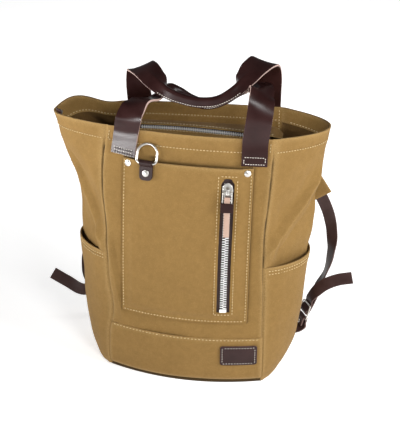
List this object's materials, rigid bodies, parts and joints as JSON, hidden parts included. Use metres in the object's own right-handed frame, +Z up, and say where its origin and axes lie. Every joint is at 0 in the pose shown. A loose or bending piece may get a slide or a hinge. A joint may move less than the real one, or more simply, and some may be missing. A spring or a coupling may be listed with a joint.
{
  "type": "canvas backpack",
  "caption": "Upright canvas tote backpack with leather carry handles, a zipped patch pocket with a ring tab, open side pockets, a top zip and buckled shoulder straps.",
  "frame": {"origin": "middle of the base panel's underside, where the backpack stands", "axes": "+X to the wearer's view of the front's right side, +Y to the back that carries the shoulder straps, +Z up"},
  "size_m": [0.4935, 0.2268, 0.4876],
  "materials": {
    "canvas": "tan cotton canvas with a fine weave",
    "dark_leather": "dark brown, smooth and slightly glossy",
    "pale_leather": "undyed, matt",
    "zip_tape": "dark brown woven tape",
    "silver_metal": "nickel plated"
  },
  "bodies": {
    "bag": {"front_panel": "canvas", "back_panel": "canvas", "side_gusset_left": "canvas", "side_gusset_right": "canvas", "side_pocket_left": "canvas", "side_pocket_right": "canvas", "base_panel": "canvas", "front_base_band": "canvas", "front_pocket": "canvas", "top_zip_flange_front": "canvas", "top_zip_flange_back": "canvas", "shoulder_pad_left": "canvas", "shoulder_pad_right": "canvas", "label_patch": "dark_leather", "handle_front": "dark_leather", "handle_back": "dark_leather", "d_ring_tab": "dark_leather", "ear_snap_tab": "dark_leather", "shoulder_strap_left": "dark_leather", "shoulder_strap_right": "dark_leather", "lower_strap_left": "dark_leather", "lower_strap_right": "dark_leather", "pocket_zip_tape": "zip_tape", "top_zip_tape": "zip_tape", "pocket_zip_teeth": "silver_metal", "pocket_zip_stop": "silver_metal", "pocket_zip_slider": "silver_metal", "top_zip_teeth": "silver_metal", "top_zip_slider": "silver_metal", "d_ring_rivet": "silver_metal", "pocket_rivet_left": "silver_metal", "pocket_rivet_right": "silver_metal", "ear_snap_cap": "silver_metal", "buckle_left": "silver_metal", "buckle_right": "silver_metal", "lower_rivet_left": "silver_metal", "lower_rivet_right": "silver_metal"},
    "ring": {"d_ring": "silver_metal"},
    "zip_pull": {"pocket_zip_pull_ring": "silver_metal", "pocket_zip_pull_strip": "pale_leather", "pocket_zip_pull_keeper": "dark_leather"}
  },
  "joints": [
    {"name": "ring_swing", "type": "hinge", "parent": "bag", "child": "ring", "pos_m": [-0.05778, -0.07443, 0.354], "axis": [0.9952, -0.0976, 0], "range_deg": [0, 180]},
    {"name": "pull_swing", "type": "hinge", "parent": "bag", "child": "zip_pull", "pos_m": [0.06048, -0.07914, 0.3216], "axis": [-0.993, -0.1185, 0], "range_deg": [0, 150]}
  ]
}
